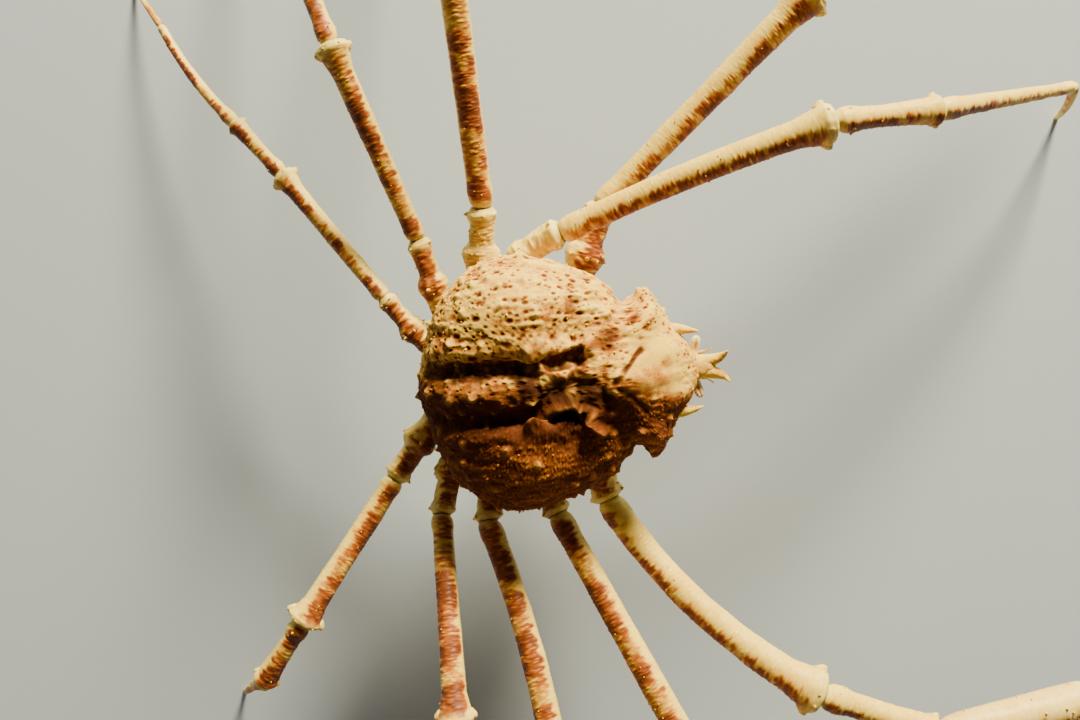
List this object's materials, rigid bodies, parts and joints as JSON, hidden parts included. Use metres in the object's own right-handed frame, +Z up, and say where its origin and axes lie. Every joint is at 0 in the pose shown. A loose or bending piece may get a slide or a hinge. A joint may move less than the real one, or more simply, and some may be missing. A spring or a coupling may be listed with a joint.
{
  "type": "japanese spider crab",
  "caption": "Life-size still model of a japanese spider crab, standing on the tips of its long walking legs with its claws held forward.",
  "frame": {"origin": "on the floor, under the middle of the model's footprint", "axes": "+Z up, the crab looks along -Y, its left side is +X"},
  "size_m": [1.8842, 1.3538, 0.38],
  "materials": {
    "shell": "rough tuberculate shell, cream with red-brown pits and blotches",
    "limb": "satin limy shell, cream yellow with broken orange-red bands",
    "claw": "satin limy shell, cream with orange mottling, pale tips",
    "underside": "pale smooth shell",
    "eye": "dark gloss"
  },
  "bodies": {
    "root": {"antenna_left": "underside", "antenna_right": "underside", "carapace": "shell", "cheliped_left_base": "limb", "cheliped_left_carpus": "limb", "cheliped_left_finger": "claw", "cheliped_left_merus": "limb", "cheliped_left_palm": "claw", "cheliped_right_base": "limb", "cheliped_right_carpus": "limb", "cheliped_right_finger": "claw", "cheliped_right_merus": "limb", "cheliped_right_palm": "claw", "chest": "underside", "eye_left": "eye", "eye_right": "eye", "jaw_foot_left": "underside", "jaw_foot_right": "underside", "leg1_left_base": "limb", "leg1_left_carpus": "limb", "leg1_left_dactylus": "limb", "leg1_left_merus": "limb", "leg1_left_propodus": "limb", "leg1_right_base": "limb", "leg1_right_carpus": "limb", "leg1_right_dactylus": "limb", "leg1_right_merus": "limb", "leg1_right_propodus": "limb", "leg2_left_base": "limb", "leg2_left_carpus": "limb", "leg2_left_dactylus": "limb", "leg2_left_merus": "limb", "leg2_left_propodus": "limb", "leg2_right_base": "limb", "leg2_right_carpus": "limb", "leg2_right_dactylus": "limb", "leg2_right_merus": "limb", "leg2_right_propodus": "limb", "leg3_left_base": "limb", "leg3_left_carpus": "limb", "leg3_left_dactylus": "limb", "leg3_left_merus": "limb", "leg3_left_propodus": "limb", "leg3_right_base": "limb", "leg3_right_carpus": "limb", "leg3_right_dactylus": "limb", "leg3_right_merus": "limb", "leg3_right_propodus": "limb", "leg4_left_base": "limb", "leg4_left_carpus": "limb", "leg4_left_dactylus": "limb", "leg4_left_merus": "limb", "leg4_left_propodus": "limb", "leg4_right_base": "limb", "leg4_right_carpus": "limb", "leg4_right_dactylus": "limb", "leg4_right_merus": "limb", "leg4_right_propodus": "limb", "tail": "underside"}
  },
  "joints": []
}
